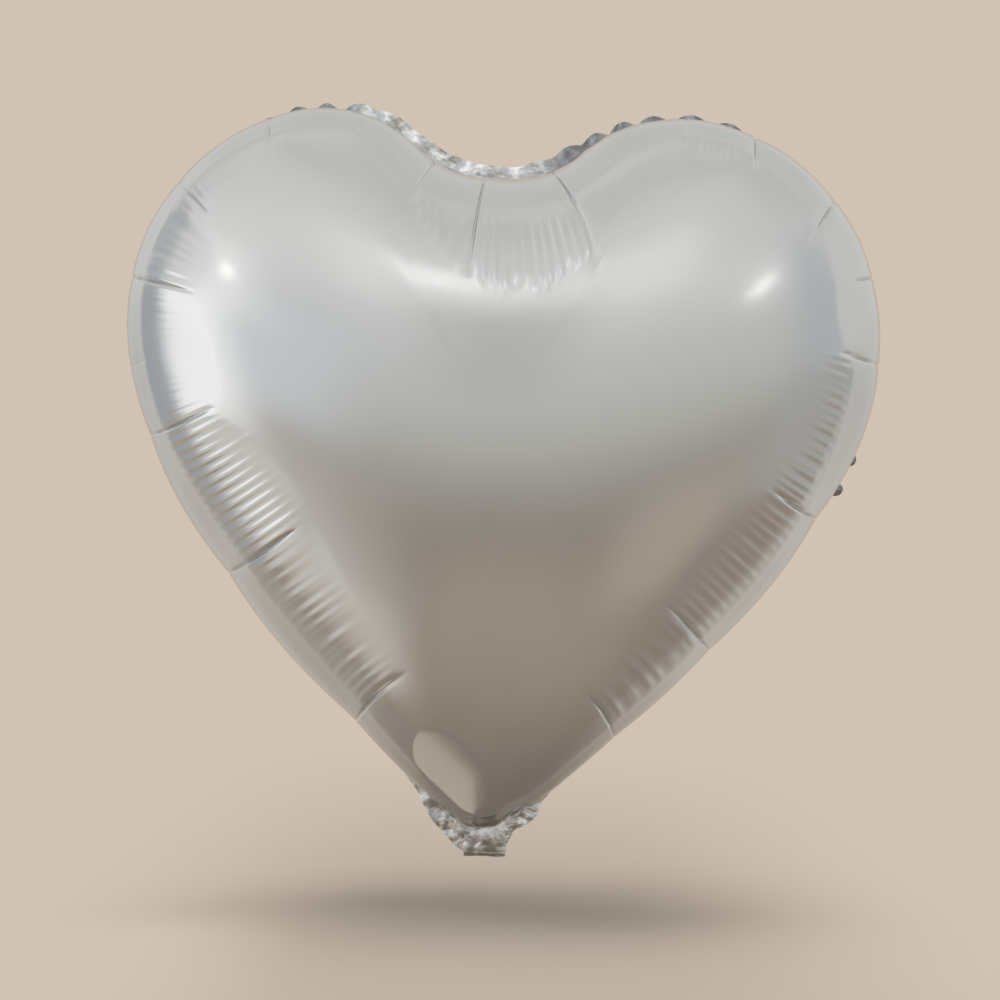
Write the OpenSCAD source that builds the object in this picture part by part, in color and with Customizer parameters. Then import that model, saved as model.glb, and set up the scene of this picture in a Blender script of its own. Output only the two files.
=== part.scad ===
// Heart-shaped foil balloon, filled, with its tail folded up behind.
// Millimetres. The origin is at the root of the neck, where a ribbon is tied.
// +Z is up through the notch, and the front of the heart faces -Y.

/* [Heart] */
// Width across both lobes
heart_w = 380; // [340:1:440]
// Height of the lobes above the tip
heart_h = 362; // [345:1:400]
// Depth through the fullest place
heart_d = 176; // [110:1:220]
// Height of the notch above the tip
notch_z = 330; // [300:1:340]
// Height of the widest place above the tip
side_z = 252; // [225:1:275]
// Distance of each lobe's top from the middle
lobe_x = 88; // [76:1:98]
// Height of the fullest place above the tip
crown_z = 205; // [180:1:230]

/* [Tip and flanks] */
// Half width where the rounded tip runs into the straight flank
tip_x = 34; // [28:1:40]
// Height where the rounded tip runs into the straight flank
tip_z = 21; // [15:1:26]
// Angle of the flank above the horizontal
flank_angle = 42; // [38:1:46]

/* [Outline curves] */
// Length of the handles that round the tip
tip_pull = 13; // [9:0.5:17]
// Length of the handle that keeps the flank straight
flank_pull = 86; // [60:1:100]
// Length of the handle below the widest place
side_pull_down = 88; // [60:1:100]
// Length of the handle above the widest place
side_pull_up = 62; // [45:1:75]
// Length of the handle from a lobe's top towards the side
lobe_pull_out = 47; // [35:1:58]
// Length of the handle from a lobe's top towards the notch
lobe_pull_in = 52; // [40:1:60]
// Length of the handle that rounds the notch
notch_pull = 41; // [30:1:50]

/* [Film and welds] */
// Thickness of one panel's film
film_t = 0.5; // [0.3:0.05:0.8]
// Width of the weld all round the heart
weld_w = 6; // [4:0.5:9]
// How far the sides bulge out past the weld
overhang = 7; // [3:0.5:10]
// How far the sides' widest line stands off the weld
shoulder = 10; // [5:0.5:14]

/* [Neck and tail] */
// Width of the neck and the tail
neck_w = 21; // [18:0.5:27]
// Length of the neck from the tip to the fold
neck_len = 12; // [9:0.5:20]
// Width of the open channel between the neck's side welds
channel_w = 15; // [11:0.5:16]
// Length of the tail past the fold
tail_len = 45; // [30:1:60]
// Space left open at the fold, between neck and tail
fold_gap = 0.4; // [0.3:0.05:0.6]
// Space between the folded tail and the rear panel
tail_clear = 0.4; // [0.3:0.05:1]

/* [Valve] */
// Thickness of one valve film
valve_t = 0.3; // [0.1:0.05:0.4]
// Space between each edge of the valve and the side welds
valve_clear = 0.3; // [0.2:0.05:0.6]
// Height of the valve's top above the tip
valve_top = 98; // [60:1:130]
// Width of the valve at its top
valve_top_w = 12; // [8:0.5:14]

/* [Hidden] */

foil = [0.80, 0.80, 0.79];
clear_film = [0.86, 0.88, 0.90, 0.6];
weld_colour = [0.70, 0.70, 0.70];

// Half of the outline is four curves joined smoothly: tip, flank, shoulder and notch side.
flank_dir = [cos(flank_angle), sin(flank_angle)];
tip_end = [tip_x, tip_z];
side_end = [heart_w / 2, side_z];
lobe_end = [lobe_x, heart_h];
notch_end = [0, notch_z];
CURVES = [
    [[0, 0], [tip_pull, 0], tip_end - flank_dir * tip_pull, tip_end],
    [tip_end, tip_end + flank_dir * flank_pull, side_end - [0, side_pull_down], side_end],
    [side_end, side_end + [0, side_pull_up], lobe_end + [lobe_pull_out, 0], lobe_end],
    [lobe_end, lobe_end - [lobe_pull_in, 0], notch_end + [notch_pull, 0], notch_end]
];
CURVE_STEPS = [4, 11, 10, 9];

function curve_point(c, t) =
    pow(1 - t, 3) * c[0] + 3 * pow(1 - t, 2) * t * c[1] + 3 * (1 - t) * t * t * c[2] + pow(t, 3) * c[3];
function curve_slope(c, t) =
    pow(1 - t, 2) * (c[1] - c[0]) + 2 * (1 - t) * t * (c[2] - c[1]) + t * t * (c[3] - c[2]);
function outward(c, t) = let (d = curve_slope(c, t)) [d[1], -d[0]] / norm(d);

// One station of the outline is [point, outward direction, how many curves along it lies].
HALF = [for (k = [0:len(CURVES) - 1]) for (j = [0:CURVE_STEPS[k] - 1]) let (t = j / CURVE_STEPS[k])
            [curve_point(CURVES[k], t), outward(CURVES[k], t), k + t]];
TOP = [[notch_end, [0, 1], len(CURVES)]];
function flip(v) = [-v[0], v[1]];
OUTLINE = concat(HALF, TOP, [for (i = [len(HALF) - 1:-1:1]) [flip(HALF[i][0]), flip(HALF[i][1]), HALF[i][2]]]);
COUNT = len(OUTLINE);

// The sides bulge past the weld, and the tip and the notch don't.
BULGE_SHARE = [[0, 0], [0.5, 0], [1.3, 1], [2.3, 1], [2.8, 0.5], [3.3, 0.4], [3.6, 0.12], [4, 0]];
function bulge(s) = lookup(s[2], BULGE_SHARE);
function seam(s) = s[0] - s[1] * overhang * bulge(s);
function weld_edge(s) = seam(s) + s[1] * weld_w;

// How the film rises from its edge to the crown, going round the outline:
// a low power of reach makes it pointed, and a low power of rise makes it steep at the edge.
REACH = [[0, 1.87], [1, 1.9], [1.5, 2.18], [2, 1.91], [2.75, 1.6], [3.5, 2.06], [4, 2.02]];
RISE = [[0, 0.63], [1, 0.53], [1.5, 0.49], [2.75, 0.48], [3.25, 0.6], [3.5, 0.58], [4, 0.42]];
function crown_share(r, k) = pow(1 - pow(r, lookup(k, REACH)), lookup(k, RISE));

centre = [0, crown_z];
FOOT_STEPS = 3;
CROWN_STEPS = 11;
foot_angle = 60;
foot_w = 1.6 * film_t;

function shoulder_y(s) = 2 * film_t + shoulder * bulge(s);

// From the weld out and up to the widest line. a runs from foot_angle down to 0.
function foot_point(s, a, inset) =
    let (out = (cos(a) - cos(foot_angle)) / (1 - cos(foot_angle)),
         wall = film_t + (foot_w - film_t) * a / foot_angle,
         p = s[0] - s[1] * (overhang * bulge(s) * (1 - out) + inset * wall),
         y = shoulder_y(s) - (shoulder_y(s) - film_t) * sin(a) / sin(foot_angle))
    [p[0], y, p[1]];

// From the widest line over to the crown. r runs from 1 down to 0.
function crown_point(s, r, inset) =
    let (edge = s[0] - s[1] * inset * film_t,
         p = centre + (edge - centre) * r,
         y = shoulder_y(s) + (heart_d / 2 - inset * film_t - shoulder_y(s)) * crown_share(r, s[2]))
    [p[0], y, p[1]];

function skin(inset) = concat(
    [for (j = [0:FOOT_STEPS - 1]) for (s = OUTLINE) foot_point(s, foot_angle * (1 - j / FOOT_STEPS), inset)],
    [for (j = [0:CROWN_STEPS - 1]) for (s = OUTLINE) crown_point(s, cos(90 * j / CROWN_STEPS), inset)],
    [[centre[0], heart_d / 2 - inset * film_t, centre[1]]]);

ROWS = FOOT_STEPS + CROWN_STEPS;
SKIN_POINTS = ROWS * COUNT + 1;
function next(i) = (i + 1) % COUNT;
function band(a, b) = [for (i = [0:COUNT - 1]) each [[a + i, a + next(i), b + next(i)], [a + i, b + next(i), b + i]]];
function skin_faces(first) = concat(
    [for (j = [0:ROWS - 2]) each band(first + j * COUNT, first + (j + 1) * COUNT)],
    [for (i = [0:COUNT - 1]) let (last = first + (ROWS - 1) * COUNT) [last + i, last + next(i), first + ROWS * COUNT]]);
function turned(faces) = [for (f = faces) [f[0], f[2], f[1]]];

// Half of the filled heart, open towards the weld, drawn for the rear.
module crowned_film() {
    polyhedron(
        points = concat(skin(0), skin(1)),
        faces = concat(skin_faces(0), turned(skin_faces(SKIN_POINTS)), turned(band(0, SKIN_POINTS))));
}

// Flat film or weld between two depths, from an outline drawn in X and Z.
module flat_film(y_low, y_high) {
    translate([0, y_high, 0]) rotate([90, 0, 0]) linear_extrude(y_high - y_low) children();
}

module seam_area() { polygon([for (s = OUTLINE) seam(s)]); }
module centred_strip(w, z_low, z_high) { translate([-w / 2, z_low]) square([w, z_high - z_low]); }

// The weld's outer edge, from the neck's corner over the web and round the heart.
web_join = curve_point(CURVES[1], 0);
web_out = outward(CURVES[1], 0);
web_end = weld_edge([web_join, web_out, 1]);
neck_corner = [neck_w / 2, -neck_len];
web_flare = 7;
WEB = [neck_corner, neck_corner + [web_flare / 2, web_flare], web_end - flank_dir * web_flare, web_end];
WEB_STEPS = 6;
RIM_HALF = concat(
    [for (j = [0:WEB_STEPS - 1]) curve_point(WEB, j / WEB_STEPS)],
    [for (s = HALF) if (s[2] >= 1) weld_edge(s)]);
RIM_EDGE = concat(RIM_HALF, [weld_edge(TOP[0])], [for (i = [len(RIM_HALF) - 1:-1:0]) flip(RIM_HALF[i])]);

module front_panel() {
    color(foil) mirror([0, 1, 0]) crowned_film();
}

module rear_panel() {
    color(foil) crowned_film();
}

// The two films fused into one band, left open across the neck's channel.
module seal_rim() {
    color(weld_colour) flat_film(-film_t, film_t) difference() {
        polygon(RIM_EDGE);
        polygon([for (s = OUTLINE) seam(s) - s[1] * foot_w]);
        centred_strip(channel_w, -neck_len - 1, tip_z);
    }
}

// The open neck: one film on each side of the channel, lapping the side welds.
module neck_ply_area() {
    difference() {
        centred_strip(neck_w, -neck_len, tip_z);
        seam_area();
        translate([0, tip_z]) centred_strip(heart_w, -tip_z / 2, tip_z);
    }
}

module neck_front_ply() {
    color(foil) flat_film(-2 * film_t, -film_t) neck_ply_area();
}

module neck_rear_ply() {
    color(foil) flat_film(film_t, 2 * film_t) neck_ply_area();
}

// A valve strip, straight through the neck and tapered above it.
valve_w = channel_w - 2 * valve_clear;
module valve_area() {
    polygon([
        [-valve_w / 2, -neck_len], [valve_w / 2, -neck_len],
        [valve_w / 2, tip_z], [valve_top_w / 2, valve_top],
        [-valve_top_w / 2, valve_top], [-valve_w / 2, tip_z]]);
}

module valve_front_film() {
    color(clear_film) flat_film(-film_t, valve_t - film_t) valve_area();
}

module valve_rear_film() {
    color(clear_film) flat_film(film_t - valve_t, film_t) valve_area();
}

// The fold's axis runs along X, just behind the neck's end.
fold_y = 2 * film_t + fold_gap / 2;
fold_z = -neck_len - fold_gap / 2;

// The folded tail leans back just enough to clear the rear panel.
function rear_y(r) = let (s = OUTLINE[0]) crown_point(s, r, 0);
LEAN_SAMPLES = [for (j = [0:60]) let (p = rear_y(1 - j / 120)) if (p[2] - fold_z < tail_len) p];
tail_lean = max([for (p = LEAN_SAMPLES)
    let (dy = p[1] - fold_y, dz = p[2] - fold_z)
    atan2(dy, dz) + asin((tail_clear + fold_gap / 2) / norm([dy, dz]))]);

// Places a piece drawn hanging straight down from the fold into its folded place.
module folded() {
    translate([0, fold_y, fold_z]) rotate([180 - tail_lean, 0, 0]) translate([0, -fold_y, -fold_z]) children();
}

tail_root = fold_z - fold_gap / 2;
module tail_area() {
    centred_strip(neck_w, tail_root - tail_len, tail_root);
}

module tail_front_ply() {
    color(foil) folded() flat_film(-2 * film_t, -film_t) tail_area();
}

module tail_rear_ply() {
    color(foil) folded() flat_film(film_t, 2 * film_t) tail_area();
}

// The two films fused along both edges of the tail.
module tail_side_welds() {
    color(weld_colour) folded() flat_film(-film_t, film_t) difference() {
        tail_area();
        centred_strip(channel_w, tail_root - tail_len - 1, tail_root + 1);
    }
}

front_panel();
rear_panel();
seal_rim();
neck_front_ply();
neck_rear_ply();
valve_front_film();
valve_rear_film();
tail_front_ply();
tail_rear_ply();
tail_side_welds();
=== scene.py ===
import math

import bpy
import numpy as np
from mathutils import Matrix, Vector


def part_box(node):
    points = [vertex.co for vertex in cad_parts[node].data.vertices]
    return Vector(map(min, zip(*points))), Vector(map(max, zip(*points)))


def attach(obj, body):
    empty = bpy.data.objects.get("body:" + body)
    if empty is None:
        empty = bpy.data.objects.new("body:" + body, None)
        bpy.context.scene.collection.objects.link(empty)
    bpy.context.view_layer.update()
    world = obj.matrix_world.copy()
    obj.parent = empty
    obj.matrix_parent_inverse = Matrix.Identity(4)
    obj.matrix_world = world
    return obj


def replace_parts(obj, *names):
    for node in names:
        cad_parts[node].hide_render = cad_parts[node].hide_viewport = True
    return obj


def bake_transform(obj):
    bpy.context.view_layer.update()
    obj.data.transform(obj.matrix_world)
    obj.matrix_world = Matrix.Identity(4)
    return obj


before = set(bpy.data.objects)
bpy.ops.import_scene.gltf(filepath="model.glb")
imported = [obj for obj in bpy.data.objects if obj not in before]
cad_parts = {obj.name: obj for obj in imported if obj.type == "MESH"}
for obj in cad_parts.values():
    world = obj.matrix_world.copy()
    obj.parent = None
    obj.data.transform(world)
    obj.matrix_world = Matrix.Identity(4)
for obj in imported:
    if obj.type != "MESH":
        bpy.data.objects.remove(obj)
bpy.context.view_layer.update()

# ------------------------------------------------------------------------------------------
# Front panel.
# One sheet of metallised film, cut to a heart and welded to the rear sheet along its edge.
# Gas stretches it tight over the middle, and the edge, which can't stretch, gathers: deep
# creases at the weld, flat petals between them and fine ripples running in from the rim.
# ------------------------------------------------------------------------------------------
MM = 0.001

panel_low, panel_high = (np.array(corner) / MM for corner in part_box("front_panel"))
HALF_WIDTH, LOBE_HEIGHT, DEPTH = panel_high[0], panel_high[2], -panel_low[1]
NOTCH_HEIGHT, SIDE_HEIGHT, LOBE_X, CROWN_HEIGHT = 330, 252, 88, 205
CENTRE = np.array([0.0, CROWN_HEIGHT])
# Where the rounded tip runs into the straight flank, and the flank's slope.
TIP_END = np.array([34.0, 21.0])
FLANK_ANGLE = math.radians(42)
# How far the sides hang past the weld, and how far their widest line stands off it.
OVERHANG, SHOULDER = 7.0, 10.0
# The lengths of the outline curves' handles.
TIP_PULL, FLANK_PULL, SIDE_PULL_DOWN, SIDE_PULL_UP = 13, 86, 88, 62
LOBE_PULL_OUT, LOBE_PULL_IN, NOTCH_PULL = 47, 52, 41

flank = np.array([math.cos(FLANK_ANGLE), math.sin(FLANK_ANGLE)])
side, lobe, notch = (np.array(p, float) for p in
                     ((HALF_WIDTH, SIDE_HEIGHT), (LOBE_X, LOBE_HEIGHT), (0, NOTCH_HEIGHT)))
HALF_OUTLINE = [
    [np.zeros(2), np.array([TIP_PULL, 0]), TIP_END - flank * TIP_PULL, TIP_END],
    [TIP_END, TIP_END + flank * FLANK_PULL, side - [0, SIDE_PULL_DOWN], side],
    [side, side + [0, SIDE_PULL_UP], lobe + [LOBE_PULL_OUT, 0], lobe],
    [lobe, lobe - [LOBE_PULL_IN, 0], notch + [NOTCH_PULL, 0], notch],
]


def bezier(controls, t):
    a, b, c, d = controls
    t = np.asarray(t)[:, None]
    return (1 - t) ** 3 * a + 3 * (1 - t) ** 2 * t * b + 3 * (1 - t) * t * t * c + t ** 3 * d


# The outline as a closed line of even steps, from the tip up the right side and round.
CURVE_STEPS, RIM_STEPS, RIM_ROUNDING = 400, 4096, 3.0
steps = np.linspace(0, 1, CURVE_STEPS, endpoint=False)
right = np.vstack([bezier(c, steps) for c in HALF_OUTLINE] + [notch[None]])
stage_of = np.concatenate([k + steps for k in range(4)] + [[4.0]])
closed = np.vstack([right, right[-2:0:-1] * [-1, 1], right[:1]])
closed_stage = np.concatenate([stage_of, stage_of[-2:0:-1], stage_of[:1]])
travelled = np.concatenate([[0], np.cumsum(np.linalg.norm(np.diff(closed, axis=0), axis=1))])
GIRTH = travelled[-1]
rim_l = np.arange(RIM_STEPS) * GIRTH / RIM_STEPS


def smooth_round(values, reach):
    """Rounds off a closed line of values over about reach millimetres."""
    waves = np.fft.rfftfreq(RIM_STEPS, GIRTH / RIM_STEPS)
    keep = np.exp(-0.5 * (2 * math.pi * waves * reach) ** 2)
    return np.fft.irfft(np.fft.rfft(values, axis=0) * keep.reshape((-1,) + (1,) * (values.ndim - 1)),
                        RIM_STEPS, axis=0)


rim = np.stack([np.interp(rim_l, travelled, closed[:, i]) for i in (0, 1)], axis=1)
rim = smooth_round(rim, RIM_ROUNDING)
rim_stage = np.interp(rim_l, travelled, closed_stage)

# Creases, from the tip up the right side: where each meets the rim, where it ends, its depth,
# its width, its sideways bow, how far out it holds the rim, the width of the steep band along
# the rim there, and how far in its petals reach.
CREASES = [
    ((62, 53), (47, 72), 2.0, 0.9, -1.5, 0.3, 7.5, 26),
    ((109, 94), (86, 116), 2.8, 0.8, -0.5, 1.3, 8, 34),
    ((161, 160), (137.5, 173), 3.8, 1.0, 1.0, 1.8, 8.5, 32),
    ((188, 238), (170, 242), 3.6, 1.0, 0.0, 2.8, 16, 31),
    ((188, 281), (176, 278), 3.4, 0.9, 0.0, 1.8, 22, 30),
    ((167, 317.5), (152, 295), 3.8, 0.8, 0.0, 1.8, 17, 26),
    ((128, 353), (126, 328), 3.8, 0.8, 0.0, -0.5, 12, 24),
    ((93, 359), (90, 342), 1.5, 1.1, 0.0, -2.2, 12, 28),
    ((26.5, 330.5), (49, 275), 4.0, 0.65, 3.0, -3.5, 18, 62),
    ((-7.5, 327), (-14, 274), 3.8, 0.65, -0.5, -1.8, 19, 56),
    ((-30.5, 337), (-45, 306), 2.4, 0.9, -1.5, -3.2, 18, 34),
    ((-72, 356), (-68, 342), 0.8, 1.2, 0.0, -1.5, 14, 26),
    ((-116, 352.5), (-114, 334), 3.0, 0.8, 0.0, -1.5, 11.5, 24),
    ((-160, 320), (-143, 303), 2.4, 0.9, 0.0, -2.5, 8, 28),
    ((-183, 273), (-149, 264), 2.8, 1.0, 0.0, -4.6, 8, 36),
    ((-171, 194), (-137, 208), 3.0, 1.0, -1.0, -5.2, 8.5, 40),
    ((-131, 126), (-94, 150), 3.2, 1.1, -1.0, -4.2, 12, 54),
    ((-64, 57), (-40, 80), 3.0, 1.0, 2.0, -2.6, 10, 38),
]
# Petals, each from its crease to the next: how far it swells out at the rim, how much wider
# the band is at its middle, how much further in it reaches there, how sharply it meets the
# crown, and how flat it lies along the rim.
PETALS = [
    (0.8, -0.5, 2, 0.10, 0.5), (1.6, 0.5, 6, 0.12, 0.5), (1.8, 0, 4, 0.10, 0.5),
    (0.0, 5, 0, 0.00, 0.4), (0.6, 0, 0, 0.03, 0.5), (0.6, 0, 2, 0.10, 0.6),
    (0.0, -1, 0, 0.10, 0.6), (-1.1, 1, 4, 0.03, 0.3), (0.5, 0, 4, 0.08, 0.3),
    (0.0, 0, 2, 0.05, 0.3), (-0.6, -2, 2, 0.00, 0.3), (0.5, -1, 2, 0.04, 0.4),
    (0.4, -1, 2, 0.05, 0.6), (0.3, -0.5, 10, 0.09, 0.5), (0.0, 0, 8, 0.17, 0.2),
    (1.2, 1, 8, 0.10, 0.4), (2.2, 1, 2, 0.12, 0.4), (1.3, -1, 0, 0.00, 0.0),
]
# Short tucks, which only nick the band.
TUCKS = [((-182, 228), (-174, 231), 1.4, 0.7, 0.0)]
CREASE_COUNT = len(CREASES)


def place_on_rim(point):
    """How far along the rim the place nearest to a point lies."""
    return rim_l[np.argmin(((rim - np.array(point)) ** 2).sum(1))]


def gap_along(l, place):
    """How far places along the rim lie from the given one, the shorter way round."""
    return (l - place + GIRTH / 2) % GIRTH - GIRTH / 2


crease_l = np.array([place_on_rim(c[0]) for c in CREASES])
assert (np.diff(crease_l) > 0).all()


def petal_at(l):
    """The petal at each place along the rim, its width, and how far along it the place is."""
    petal = (np.searchsorted(crease_l, l, side="right") - 1) % CREASE_COUNT
    width = (np.roll(crease_l, -1) - crease_l) % GIRTH
    return petal, width[petal], ((l - crease_l[petal]) % GIRTH) / width[petal]


def along_petals(l, at_creases, at_middles):
    """A value that is given at each crease and as an addition at the middle of each petal."""
    petal, _, share = petal_at(l)
    first, last = np.array(at_creases)[petal], np.array(at_creases)[(petal + 1) % CREASE_COUNT]
    return first + (last - first) * share + np.array(at_middles)[petal] * 4 * share * (1 - share)


def normals_of(line):
    """Directions that point out of a closed line, in its plane."""
    slope = np.roll(line, -1, 0) - np.roll(line, 1, 0)
    out = np.stack([slope[:, 1], -slope[:, 0]], axis=1)
    return out / np.linalg.norm(out, axis=1)[:, None]


# The creases hold the rim in or out from the tip's end on, and the tip itself was pressed in
# beside the neck by handling.
TIP_SHIFTS = [((16, 6), -3.0), ((-13, 3), 1.2)]
TIP_SHIFT_REACH = 9

rim_out = normals_of(rim)
rim_turn = np.unwrap(np.arctan2(rim_out[:, 1], rim_out[:, 0]))
edge_shift = along_petals(rim_l, [c[5] for c in CREASES], [p[0] for p in PETALS])
edge_shift = smooth_round(edge_shift * np.clip((rim_stage - 1) / 0.2, 0, 1), 0.8)
for place, shift in TIP_SHIFTS:
    away = gap_along(rim_l, place_on_rim(place))
    edge_shift += shift * np.exp(-(away / TIP_SHIFT_REACH) ** 2)
rim = rim + rim_out * edge_shift[:, None]


def round_rim(values, l):
    """Reads a closed line of values at places along the rim."""
    return np.interp(l, rim_l, values, period=GIRTH)


# How much of the overhang the sides have, by stages of the outline: none at tip and notch.
BULGE = [(0, 0), (0.5, 0), (1.3, 1), (2.3, 1), (2.8, 0.5), (3.3, 0.4), (3.6, 0.12), (4, 0)]
rim_bulge = smooth_round(np.interp(rim_stage, *zip(*BULGE)), 4.0)

# The height of a film blown up over this outline goes with the root of a soap film's height,
# which is a bowl plus the pull of point loads set round the outside of the rim.
LOAD_DISTANCE, LOAD_EVERY, FIT_EVERY = 26, 24, 6
loads = (rim + rim_out * LOAD_DISTANCE)[::LOAD_EVERY]


def pulls(points):
    """The pull of each load on each point, and a constant."""
    gap = points[:, None] - loads[None]
    return np.hstack([0.5 * np.log((gap ** 2).sum(-1)), np.ones((len(points), 1))])


def bowl(points):
    return ((points - CENTRE) ** 2).sum(-1) / 4


strengths = np.linalg.lstsq(pulls(rim[::FIT_EVERY]), bowl(rim[::FIT_EVERY]), rcond=None)[0]
CROWN_LEVEL = (pulls(CENTRE[None]) @ strengths - bowl(CENTRE[None]))[0]


def fullness(points):
    """The film's height over the weld as a share of the crown's, for points in the outline."""
    level = pulls(points) @ strengths - bowl(points)
    return np.sqrt(np.clip(level, 0, None) / CROWN_LEVEL)


def spread(profile, l, reach):
    """A closed line of values at the rim, which evens out as it runs in: a rounder one of six
    takes over every 10 mm."""
    evened = np.stack([round_rim(smooth_round(profile, 0.5 + 5 * k), l) for k in range(6)])
    level = np.clip(reach / 10, 0, 4.999)
    k = level.astype(int)
    column = np.arange(len(l))[:, None]
    return evened[k, column] * (1 - level + k) + evened[k + 1, column] * (level - k)


# Columns of points run in from the rim, closer together near the creases.
COLUMNS = 2048
CROWDED_BY = 1.4
fine = np.zeros(RIM_STEPS)
for l in crease_l:
    fine = np.maximum(fine, np.clip((10 - np.abs(gap_along(rim_l, l))) / 6, 0, 1))
crowding = np.cumsum(1 + CROWDED_BY * fine)
column_l = np.interp((np.arange(COLUMNS) + 0.5) / COLUMNS * crowding[-1], crowding, rim_l)

# Rows: round the foot from the weld to the widest line, then in over the petals to the crown.
FOOT_ANGLE = math.radians(60)
WELD_HEIGHT = 0.5
foot_rows = np.linspace(FOOT_ANGLE, 0, 6, endpoint=False)
EDGE_ROWS = np.concatenate([[0, 0.12, 0.4, 0.8, 1.4, 2.1, 3.0, 4.0], np.arange(5.2, 18, 1.2),
                            np.arange(18.2, 64, 2.0)])
CROWN_ROWS = 22
# From which crown row on only every second, fourth and so on of the columns goes on.
COARSER_AT = {1: 2, 4: 4, 8: 8, 12: 16, 16: 32, 19: 64}
# How far in from the rim a column heads straight on before it bends to the crown, by stages.
HEADWAY = [(0, 14), (0.5, 22), (1, 42), (1.5, 60), (2.6, 60), (3.4, 44), (4, 44)]
COLUMN_STEPS = 240


def film_grid():
    """Points of the smooth film: columns by rows of (x, y, z), with places along and across."""
    foot_on = np.stack([round_rim(rim[:, i], column_l) for i in (0, 1)], axis=1)
    out = np.stack([round_rim(rim_out[:, i], column_l) for i in (0, 1)], axis=1)
    bulge = round_rim(rim_bulge, column_l)[:, None]
    stage = round_rim(rim_stage, column_l)
    shoulder = 1.0 + SHOULDER * bulge
    headway = np.interp(stage, *zip(*HEADWAY))[:, None]
    t = np.linspace(0, 1, COLUMN_STEPS)[None, :, None]
    a, b, c = foot_on[:, None], (foot_on - out * headway)[:, None], CENTRE[None, None]
    line = (1 - t) ** 2 * a + 2 * t * (1 - t) * b + t * t * c
    run = np.concatenate([np.zeros((COLUMNS, 1)),
                          np.cumsum(np.linalg.norm(np.diff(line, axis=1), axis=2), axis=1)], axis=1)
    share = np.linspace(0, 1, CROWN_ROWS + 1)[1:-1]
    inner = EDGE_ROWS[-1] + (run[:, -1:] - EDGE_ROWS[-1]) * share
    reach = np.hstack([np.repeat(EDGE_ROWS[None], COLUMNS, 0), inner])
    flat = np.stack([[np.interp(reach[i], run[i], line[i, :, k]) for i in range(COLUMNS)]
                     for k in (0, 1)], axis=-1)
    full = fullness(flat.reshape(-1, 2)).reshape(flat.shape[:2])
    full[:, 0] = 0
    raised = spread(1 + SHOULDER * rim_bulge, column_l, reach)
    height = raised + (DEPTH - raised) * full
    swing = (np.cos(foot_rows) - math.cos(FOOT_ANGLE)) / (1 - math.cos(FOOT_ANGLE))
    foot = foot_on[:, None] - out[:, None] * (OVERHANG * bulge * (1 - swing))[..., None]
    foot_height = shoulder - (shoulder - WELD_HEIGHT) * np.sin(foot_rows) / math.sin(FOOT_ANGLE)
    flat = np.concatenate([foot, flat], axis=1)
    height = np.concatenate([foot_height, height], axis=1)
    reach = np.hstack([np.zeros(foot_height.shape), reach])
    points = np.stack([flat[..., 0], -height, flat[..., 1]], axis=-1)
    return points, reach


def grid_normals(points):
    along = np.roll(points, -1, 0) - np.roll(points, 1, 0)
    across = np.gradient(points, axis=1)
    normal = np.cross(along, across)
    return normal / np.maximum(np.linalg.norm(normal, axis=-1), 1e-9)[..., None]


def smooth_step(x, low, high):
    t = np.clip((x - low) / (high - low), 0, 1)
    return t * t * (3 - 2 * t)


# How far in from the rim the petals' own shape fades out.
PETAL_FADE = 45


def petal_form(l, reach):
    """Petals are flatter than the crown, meet it along an arc, and take their turn at the creases."""
    turn = round_rim(rim_turn, crease_l)
    turn = np.diff(np.append(turn, turn[0] + 2 * math.pi))
    width = (np.roll(crease_l, -1) - crease_l) % GIRTH
    sags = np.array([p[4] for p in PETALS]) * width * turn / 8
    corners = (sags + np.roll(sags, 1)) / 2 * 2 / 3
    middles = -sags / 3 - (corners + np.roll(corners, -1)) / 2
    profile = along_petals(rim_l, corners, middles)
    form = spread(profile, l[:, 0], reach)
    form = form * np.exp(-(reach / PETAL_FADE) ** 2) * smooth_step(reach, 1, 12)
    arc = along_petals(l, [c[7] for c in CREASES], [p[2] for p in PETALS])
    kink = along_petals(l, np.zeros(CREASE_COUNT), [p[3] for p in PETALS])
    part = np.clip(reach / arc, 0, 1)
    return form - kink * arc * part * (1 - part)


def from_crease(flat, crease, before=-np.inf, past=np.inf):
    """How far each point lies along a crease and to one side of its bowed line, and its length.
    The bow isn't followed further than before its start and past its end."""
    start, end, bow = np.array(crease[0], float), np.array(crease[1], float), crease[4]
    length = np.linalg.norm(end - start)
    way = (end - start) / length
    along = (flat - start) @ way / length
    bend = np.clip(along, before, past)
    aside = (flat - start) @ np.array([-way[1], way[0]]) - bow * 4 * bend * (1 - bend)
    return along, aside, length


# A crease is a sharp fold in a shallow valley. Shares of its depth, and the valley's reach.
FOLD_SHARE, VALLEY_SHARE, VALLEY_REACH = 0.8, 0.18, 4.5


def crease_form(flat, creases):
    """Creases start behind the rim, are narrow at first, and run out towards the crown."""
    form = np.zeros(flat.shape[:2])
    for crease in creases:
        depth, width = crease[2:4]
        along, aside, length = from_crease(flat, crease)
        run = along * length
        fade = smooth_step(run, -14, -5) * np.clip(1 - along, 0, 1) ** 0.6
        fade = fade * (0.4 + 0.6 * smooth_step(run, 0, 4.5))
        narrow = width * (0.45 + 0.2 * smooth_step(run, 4, 14))
        form -= FOLD_SHARE * depth * fade * np.exp(-np.sqrt(aside ** 2 + 0.03) / narrow)
        valley = fade * smooth_step(run, 0, 8)
        form -= VALLEY_SHARE * depth * valley * np.exp(-(aside / VALLEY_REACH) ** 2)
    return form


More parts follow.
